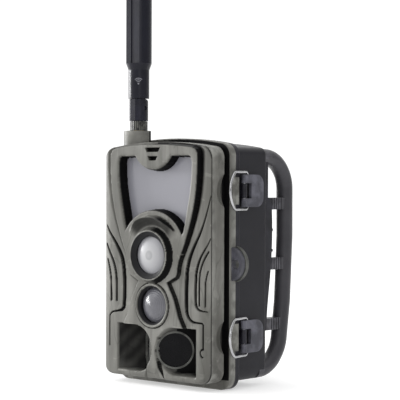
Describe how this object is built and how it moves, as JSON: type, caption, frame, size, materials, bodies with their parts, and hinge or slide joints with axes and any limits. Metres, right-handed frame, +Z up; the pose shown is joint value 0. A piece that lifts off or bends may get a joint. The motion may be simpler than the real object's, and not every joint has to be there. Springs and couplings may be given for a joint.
{
  "type": "trail camera",
  "caption": "Weatherproof trail camera: hinged front cover with lens and motion sensor, draw latches, tilting antenna and rear strap bars.",
  "frame": {"origin": "mouth of the tripod socket, in the middle of the underside", "axes": "+Z up, the camera looks along -Y, +X is the latch side"},
  "size_m": [0.1048, 0.0867, 0.345],
  "materials": {
    "camo_plastic": "satin moulded plastic with a printed bark pattern",
    "black_plastic": "fine grained black moulded plastic",
    "window_plastic": "smoked lilac-grey window",
    "lens_frost": "frosted clear cover lens",
    "pir_film": "milky fresnel film",
    "dark_glass": "smoked black lens",
    "chrome_wire": "bright drawn wire",
    "steel": "plated steel",
    "brass": "turned brass",
    "rubber": "soft black rubber",
    "circuit_board": "solder mask",
    "chip": "black package",
    "led": "clear epoxy",
    "screen": "dark display glass",
    "key_rubber": "grey silicone",
    "cell_wrap": "plain printed cell sleeve",
    "card_plastic": "memory card plastic",
    "antenna_plastic": "satin black plastic"
  },
  "bodies": {
    "base": {"base_shell": "black_plastic", "gasket": "rubber", "hinge_pin": "steel", "rear_bar_right": "black_plastic", "rear_bar_left": "black_plastic", "latch_pins": "steel", "battery_tray": "black_plastic", "battery_cells": "cell_wrap", "battery_contacts": "steel", "tree_ribs": "black_plastic", "base_padlock_ear": "black_plastic", "latch_lugs": "black_plastic", "tripod_insert": "brass", "tripod_boss": "black_plastic", "power_jack": "black_plastic"},
    "cover": {"face_panel": "camo_plastic", "front_shell": "camo_plastic", "infrared_window": "window_plastic", "lens_ring": "black_plastic", "lens_cover": "lens_frost", "pir_ring": "black_plastic", "pir_lens": "pir_film", "side_window_rings": "black_plastic", "side_sensor_lenses": "dark_glass", "side_sensors": "steel", "inner_panel": "black_plastic", "panel_screws": "steel", "main_board": "circuit_board", "main_chips": "chip", "screen": "screen", "speaker": "black_plastic", "card_socket": "steel", "led_board": "circuit_board", "infrared_leds": "led", "lens_barrel": "black_plastic", "taking_lens": "dark_glass", "filter_carrier": "black_plastic", "pir_sensor": "steel", "sensor_boards": "circuit_board", "microphone": "steel", "antenna_socket": "brass", "cover_padlock_ear": "black_plastic", "latch_hooks": "black_plastic"},
    "upper_lever": {"upper_latch_lever": "black_plastic"},
    "upper_bail": {"upper_latch_bail": "chrome_wire"},
    "lower_lever": {"lower_latch_lever": "black_plastic"},
    "lower_bail": {"lower_latch_bail": "chrome_wire"},
    "antenna_nut": {"antenna_nut": "antenna_plastic"},
    "antenna_swivel": {"antenna_swivel": "antenna_plastic", "antenna_pin": "steel"},
    "antenna_blade": {"antenna_blade": "antenna_plastic"},
    "filter_slider": {"filter_slider": "dark_glass"},
    "memory_card": {"memory_card": "card_plastic"},
    "mode_switch": {"mode_switch": "black_plastic"},
    "power_plug": {"power_plug": "rubber"},
    "key_up": {"key_up": "key_rubber"},
    "key_down": {"key_down": "key_rubber"},
    "key_left": {"key_left": "key_rubber"},
    "key_right": {"key_right": "key_rubber"},
    "key_ok": {"key_ok": "key_rubber"}
  },
  "joints": [
    {"name": "cover_hinge", "type": "hinge", "parent": "base", "child": "cover", "pos_m": [-0.0486, -0.01585, 0.0744], "axis": [0, 0, -1], "range_deg": [0, 150]},
    {"name": "upper_latch_lever", "type": "hinge", "parent": "base", "child": "upper_lever", "pos_m": [0.0469, -0.0099, 0.1174], "axis": [0, 0, -1], "range_deg": [0, 120]},
    {"name": "upper_latch_bail", "type": "hinge", "parent": "upper_lever", "child": "upper_bail", "pos_m": [0.0469, -0.007, 0.1174], "axis": [0, 0, -1], "range_deg": [-144, 0]},
    {"name": "lower_latch_lever", "type": "hinge", "parent": "base", "child": "lower_lever", "pos_m": [0.0469, -0.0099, 0.0313], "axis": [0, 0, -1], "range_deg": [0, 120]},
    {"name": "lower_latch_bail", "type": "hinge", "parent": "lower_lever", "child": "lower_bail", "pos_m": [0.0469, -0.007, 0.0313], "axis": [0, 0, -1], "range_deg": [-144, 0]},
    {"name": "antenna_nut_turn", "type": "hinge", "parent": "cover", "child": "antenna_nut", "pos_m": [-0.0253, -0.0249, 0.157], "axis": [0, 0, 1], "continuous": true},
    {"name": "antenna_turn", "type": "hinge", "parent": "cover", "child": "antenna_swivel", "pos_m": [-0.0253, -0.0249, 0.16], "axis": [0, 0, 1], "continuous": true},
    {"name": "antenna_tilt", "type": "hinge", "parent": "antenna_swivel", "child": "antenna_blade", "pos_m": [-0.0253, -0.0249, 0.1676], "axis": [-1, 0, 0], "range_deg": [0, 90]},
    {"name": "filter_slide", "type": "slide", "parent": "cover", "child": "filter_slider", "axis": [1, 0, 0], "range_m": [0, 0.0058]},
    {"name": "card_eject", "type": "slide", "parent": "cover", "child": "memory_card", "axis": [0, 0, -1], "range_m": [0, 0.004]},
    {"name": "mode_select", "type": "slide", "parent": "cover", "child": "mode_switch", "axis": [1, 0, 0], "range_m": [-0.004, 0.004]},
    {"name": "plug_pull", "type": "slide", "parent": "base", "child": "power_plug", "axis": [0, 0, -1], "range_m": [0, 0.0018]},
    {"name": "press_up", "type": "slide", "parent": "cover", "child": "key_up", "axis": [0, -1, 0], "range_m": [0, 0.0006], "stiffness_N_per_m": 1500},
    {"name": "press_down", "type": "slide", "parent": "cover", "child": "key_down", "axis": [0, -1, 0], "range_m": [0, 0.0006], "stiffness_N_per_m": 1500},
    {"name": "press_left", "type": "slide", "parent": "cover", "child": "key_left", "axis": [0, -1, 0], "range_m": [0, 0.0006], "stiffness_N_per_m": 1500},
    {"name": "press_right", "type": "slide", "parent": "cover", "child": "key_right", "axis": [0, -1, 0], "range_m": [0, 0.0006], "stiffness_N_per_m": 1500},
    {"name": "press_ok", "type": "slide", "parent": "cover", "child": "key_ok", "axis": [0, -1, 0], "range_m": [0, 0.0006], "stiffness_N_per_m": 1500}
  ],
  "couplings": [
    {"joint": "upper_latch_bail", "follows": "upper_latch_lever", "ratio": -1.2},
    {"joint": "lower_latch_bail", "follows": "lower_latch_lever", "ratio": -1.2}
  ]
}
